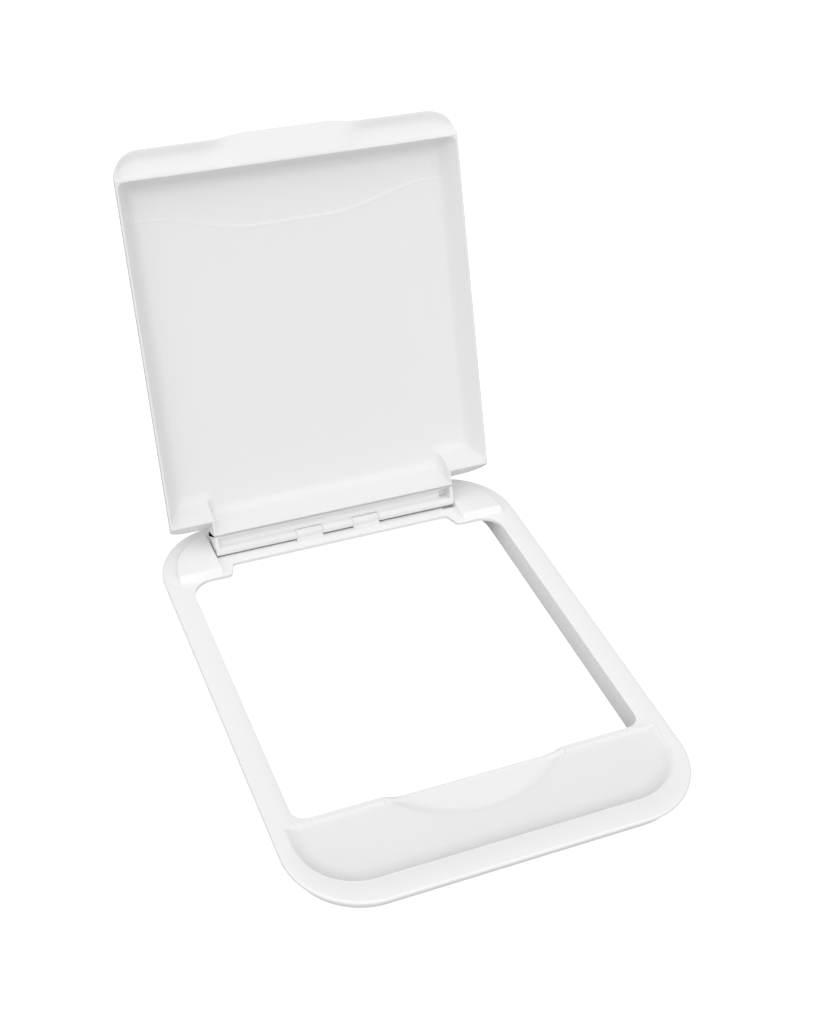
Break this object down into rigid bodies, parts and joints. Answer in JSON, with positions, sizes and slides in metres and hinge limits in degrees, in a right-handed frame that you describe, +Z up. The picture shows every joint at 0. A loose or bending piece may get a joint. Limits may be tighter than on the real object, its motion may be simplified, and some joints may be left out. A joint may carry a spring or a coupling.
{
  "type": "deck hatch",
  "caption": "Small white moulded deck hatch: flush frame with finger tray and a rear-hinged lid standing open.",
  "frame": {"origin": "centre of the frame on the deck plane, which is the underside of the flange", "axes": "+Z up out of the deck, +Y from the finger tray to the hinge, +X to the right"},
  "size_m": [0.27, 0.442, 0.2895],
  "materials": {
    "frame_plastic": "satin gloss, moulded",
    "tray_plastic": "satin, moulded",
    "pad_plastic": "satin, moulded",
    "clip_plastic": "satin acetal",
    "rod_steel": "ground stainless",
    "lid_plastic": "satin gloss, moulded",
    "strip_plastic": "satin gloss, moulded"
  },
  "bodies": {
    "base": {"frame": "frame_plastic", "grip_tray": "tray_plastic", "corner_pad_left": "pad_plastic", "corner_pad_right": "pad_plastic", "hinge_clip_left": "clip_plastic", "hinge_clip_right": "clip_plastic", "hinge_rod": "rod_steel"},
    "lid": {"lid_shell": "lid_plastic", "hinge_strip": "strip_plastic"}
  },
  "joints": [
    {"name": "lid_hinge", "type": "hinge", "parent": "base", "child": "lid", "pos_m": [0, 0.1462, 0.00619], "axis": [1, 0, 0], "range_deg": [0, 111.35]}
  ]
}
